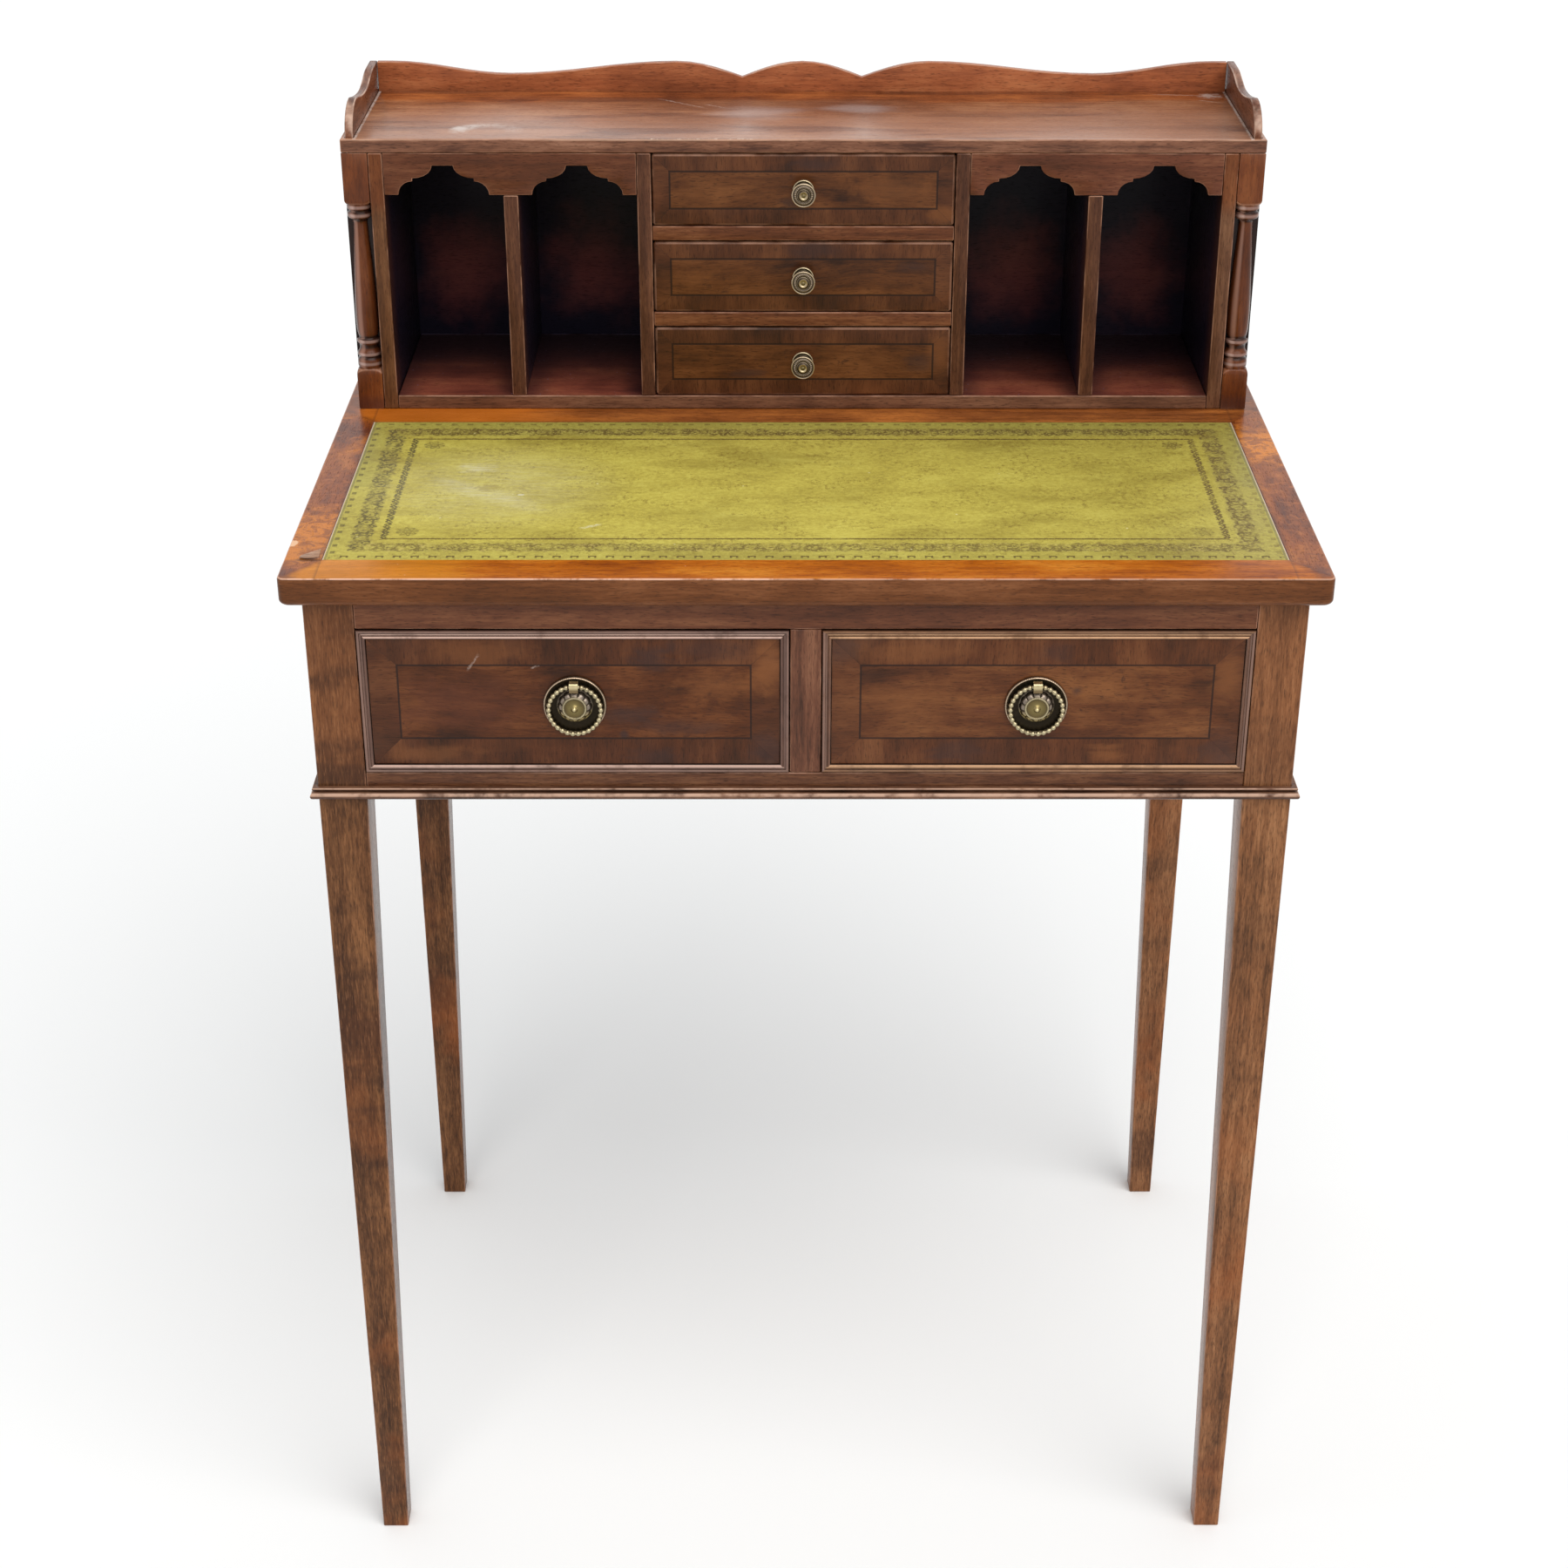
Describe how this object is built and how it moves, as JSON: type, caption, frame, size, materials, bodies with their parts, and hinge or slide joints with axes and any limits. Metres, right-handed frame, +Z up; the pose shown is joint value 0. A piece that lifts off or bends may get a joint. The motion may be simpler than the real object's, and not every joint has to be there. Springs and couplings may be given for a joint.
{
  "type": "writing desk",
  "caption": "Lady's writing desk with tapered legs, frieze drawers with ring pulls, a leather writing surface and a galleried case of pigeonholes and small drawers.",
  "frame": {"origin": "on the floor, under the middle of the desk's overall plan", "axes": "+Z up, -Y out of the drawer fronts towards the sitter, +X to the sitter's right"},
  "size_m": [0.635, 0.44, 0.9673],
  "materials": {
    "leg_wood": "stained open-grain hardwood, satin polish, worn in bands",
    "frame_wood": "dark red-brown stained wood, satin polish",
    "moulding_wood": "dark stained wood, edges rubbed lighter",
    "runner_wood": "plain unpolished softwood",
    "top_wood": "warm orange-brown crossbanded veneer, polished, worn corners",
    "olive_leather": "olive-green hide, mottled, blind and ink tooled border",
    "case_wood": "dark red-brown polished wood",
    "case_top_wood": "polished veneer with a soft sheen and light scuffs",
    "back_wood": "dark red-stained panel",
    "post_wood": "red-brown polished turned wood",
    "valance_wood": "red-brown polished veneer",
    "gallery_wood": "red-brown polished wood, edges worn pale",
    "front_veneer": "figured veneer, crossbanded and strung with a dark line",
    "bead_wood": "dark rounded bead, rubbed lighter along its crest",
    "small_front_veneer": "figured veneer, crossbanded and strung with a dark line",
    "lining_wood": "plain drawer lining, waxed",
    "aged_brass": "antiqued brass, dark in the recesses"
  },
  "bodies": {
    "desk": {"leg_front_left": "leg_wood", "leg_front_right": "leg_wood", "leg_back_left": "leg_wood", "leg_back_right": "leg_wood", "side_apron_left": "frame_wood", "side_apron_right": "frame_wood", "back_apron": "frame_wood", "front_top_rail": "frame_wood", "front_bottom_rail": "frame_wood", "drawer_divider": "frame_wood", "base_moulding": "moulding_wood", "drawer_runner_left": "runner_wood", "drawer_runner_right": "runner_wood", "drawer_runner_centre": "runner_wood", "drawer_kicker": "runner_wood", "desk_top": "top_wood", "leather_inset": "olive_leather", "case_base": "case_wood", "case_top": "case_top_wood", "case_back": "back_wood", "corner_post_left": "post_wood", "corner_post_right": "post_wood", "end_panel_left": "case_wood", "end_panel_right": "case_wood", "inner_upright_left": "case_wood", "inner_upright_right": "case_wood", "centre_upright_left": "case_wood", "centre_upright_right": "case_wood", "partition_left": "case_wood", "partition_right": "case_wood", "valance_left": "valance_wood", "valance_right": "valance_wood", "small_rail_lower": "case_wood", "small_rail_upper": "case_wood", "gallery_back": "gallery_wood", "gallery_side_left": "gallery_wood", "gallery_side_right": "gallery_wood"},
    "left_drawer": {"drawer_front_left": "front_veneer", "cock_bead_left": "bead_wood", "drawer_box_left": "lining_wood", "drawer_bottom_left": "lining_wood", "pull_plate_left": "aged_brass"},
    "right_drawer": {"drawer_front_right": "front_veneer", "cock_bead_right": "bead_wood", "drawer_box_right": "lining_wood", "drawer_bottom_right": "lining_wood", "pull_plate_right": "aged_brass"},
    "left_ring": {"pull_ring_left": "aged_brass"},
    "right_ring": {"pull_ring_right": "aged_brass"},
    "small_drawer_bottom": {"small_front_bottom": "small_front_veneer", "small_tray_bottom": "lining_wood", "knob_bottom": "aged_brass"},
    "small_drawer_middle": {"small_front_middle": "small_front_veneer", "small_tray_middle": "lining_wood", "knob_middle": "aged_brass"},
    "small_drawer_top": {"small_front_top": "small_front_veneer", "small_tray_top": "lining_wood", "knob_top": "aged_brass"}
  },
  "joints": [
    {"name": "left_drawer_slide", "type": "slide", "parent": "desk", "child": "left_drawer", "axis": [0, -1, 0], "range_m": [0, 0.25]},
    {"name": "right_drawer_slide", "type": "slide", "parent": "desk", "child": "right_drawer", "axis": [0, -1, 0], "range_m": [0, 0.25]},
    {"name": "small_drawer_bottom_slide", "type": "slide", "parent": "desk", "child": "small_drawer_bottom", "axis": [0, -1, 0], "range_m": [0, 0.085]},
    {"name": "small_drawer_middle_slide", "type": "slide", "parent": "desk", "child": "small_drawer_middle", "axis": [0, -1, 0], "range_m": [0, 0.085]},
    {"name": "small_drawer_top_slide", "type": "slide", "parent": "desk", "child": "small_drawer_top", "axis": [0, -1, 0], "range_m": [0, 0.085]},
    {"name": "left_ring_hinge", "type": "hinge", "parent": "left_drawer", "child": "left_ring", "pos_m": [-0.1423, -0.21291, 0.6837], "axis": [-1, 0, 0], "range_deg": [0, 95]},
    {"name": "right_ring_hinge", "type": "hinge", "parent": "right_drawer", "child": "right_ring", "pos_m": [0.1423, -0.21291, 0.6837], "axis": [-1, 0, 0], "range_deg": [0, 95]}
  ]
}
